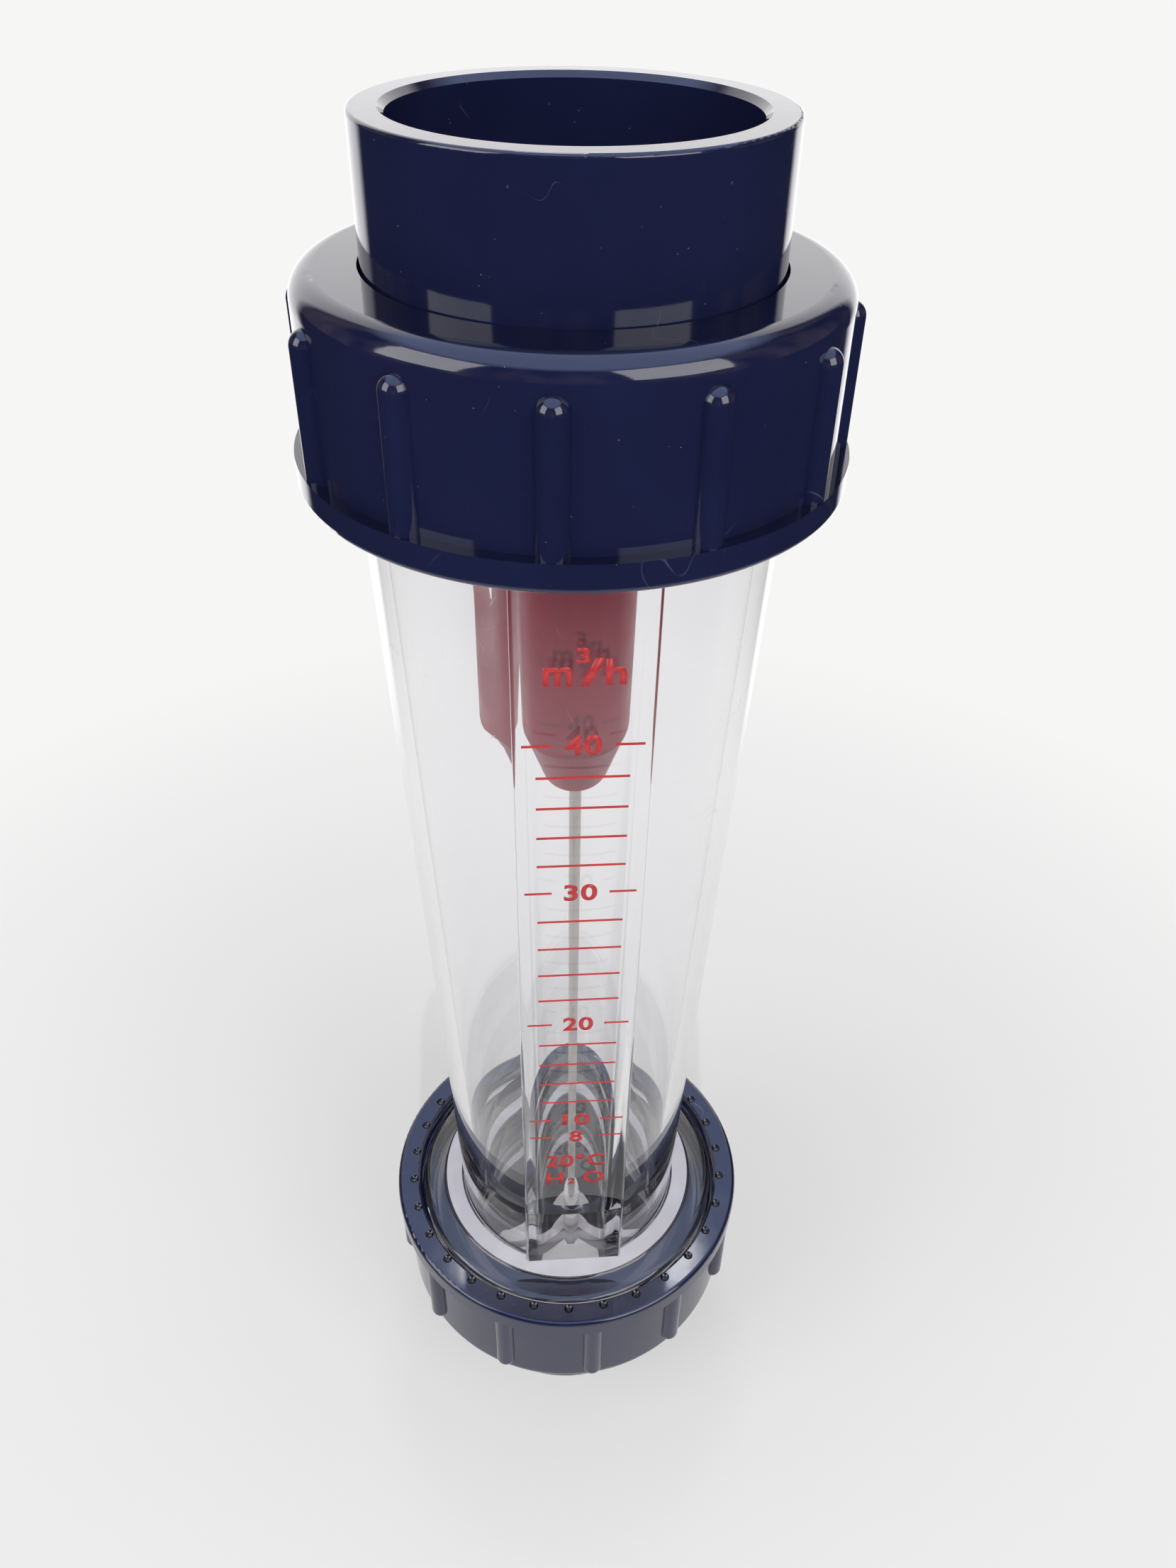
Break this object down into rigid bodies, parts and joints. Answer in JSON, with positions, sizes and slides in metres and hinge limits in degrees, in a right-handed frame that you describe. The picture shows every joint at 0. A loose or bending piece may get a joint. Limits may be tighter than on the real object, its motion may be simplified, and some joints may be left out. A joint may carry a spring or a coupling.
{
  "type": "rotameter",
  "caption": "Variable-area flow meter: clear tapered tube with a flat front scale, a float on a guide rod, and ribbed union nuts holding pipe socket ends.",
  "frame": {"origin": "centre of the lower end face, on the pipe axis", "axes": "+Z along the pipe axis from the inlet at the bottom to the outlet at the top; the flat scale faces -Y"},
  "size_m": [0.1266, 0.1266, 0.43],
  "materials": {
    "clear_plastic": "clear moulded plastic, faintly cool, fine scratches",
    "navy_plastic": "deep navy moulded plastic, glossy",
    "red_plastic": "red moulded plastic, smooth",
    "guide_plastic": "pale grey moulded plastic",
    "bush_plastic": "off-white low-friction plastic",
    "rod_steel": "drawn stainless rod",
    "ballast_steel": "turned steel, sealed in the float",
    "seal_rubber": "black sealing rubber"
  },
  "bodies": {
    "meter_body": {"metering_tube": "clear_plastic", "guide_rod": "rod_steel", "lower_guide": "guide_plastic", "upper_guide": "guide_plastic", "lower_stop": "bush_plastic", "upper_stop": "bush_plastic", "lower_rod_washer": "rod_steel", "upper_rod_washer": "rod_steel", "lower_rod_nut": "rod_steel", "upper_rod_nut": "rod_steel"},
    "float": {"float_body": "red_plastic", "float_cap": "red_plastic", "float_weight": "ballast_steel", "lower_float_bush": "bush_plastic", "upper_float_bush": "bush_plastic"},
    "bottom_connector": {"bottom_union_end": "navy_plastic", "bottom_o_ring": "seal_rubber"},
    "bottom_nut": {"bottom_union_nut": "navy_plastic"},
    "top_connector": {"top_union_end": "navy_plastic", "top_o_ring": "seal_rubber"},
    "top_nut": {"top_union_nut": "navy_plastic"}
  },
  "joints": [
    {"name": "float_slide", "type": "slide", "parent": "meter_body", "child": "float", "axis": [0, 0, 1], "range_m": [-0.206, 0]},
    {"name": "bottom_union_travel", "type": "slide", "parent": "meter_body", "child": "bottom_connector", "axis": [0, 0, -1], "range_m": [0, 0.024]},
    {"name": "bottom_nut_turn", "type": "hinge", "parent": "bottom_connector", "child": "bottom_nut", "pos_m": [0, 0, 0.052], "axis": [0, 0, -1], "range_deg": [0, 1439]},
    {"name": "top_union_travel", "type": "slide", "parent": "meter_body", "child": "top_connector", "axis": [0, 0, 1], "range_m": [0, 0.024]},
    {"name": "top_nut_turn", "type": "hinge", "parent": "top_connector", "child": "top_nut", "pos_m": [0, 0, 0.378], "axis": [0, 0, 1], "range_deg": [0, 1439]}
  ],
  "couplings": [
    {"joint": "bottom_union_travel", "follows": "bottom_nut_turn", "m_per_rad": 0.00095493},
    {"joint": "top_union_travel", "follows": "top_nut_turn", "m_per_rad": 0.00095493}
  ]
}
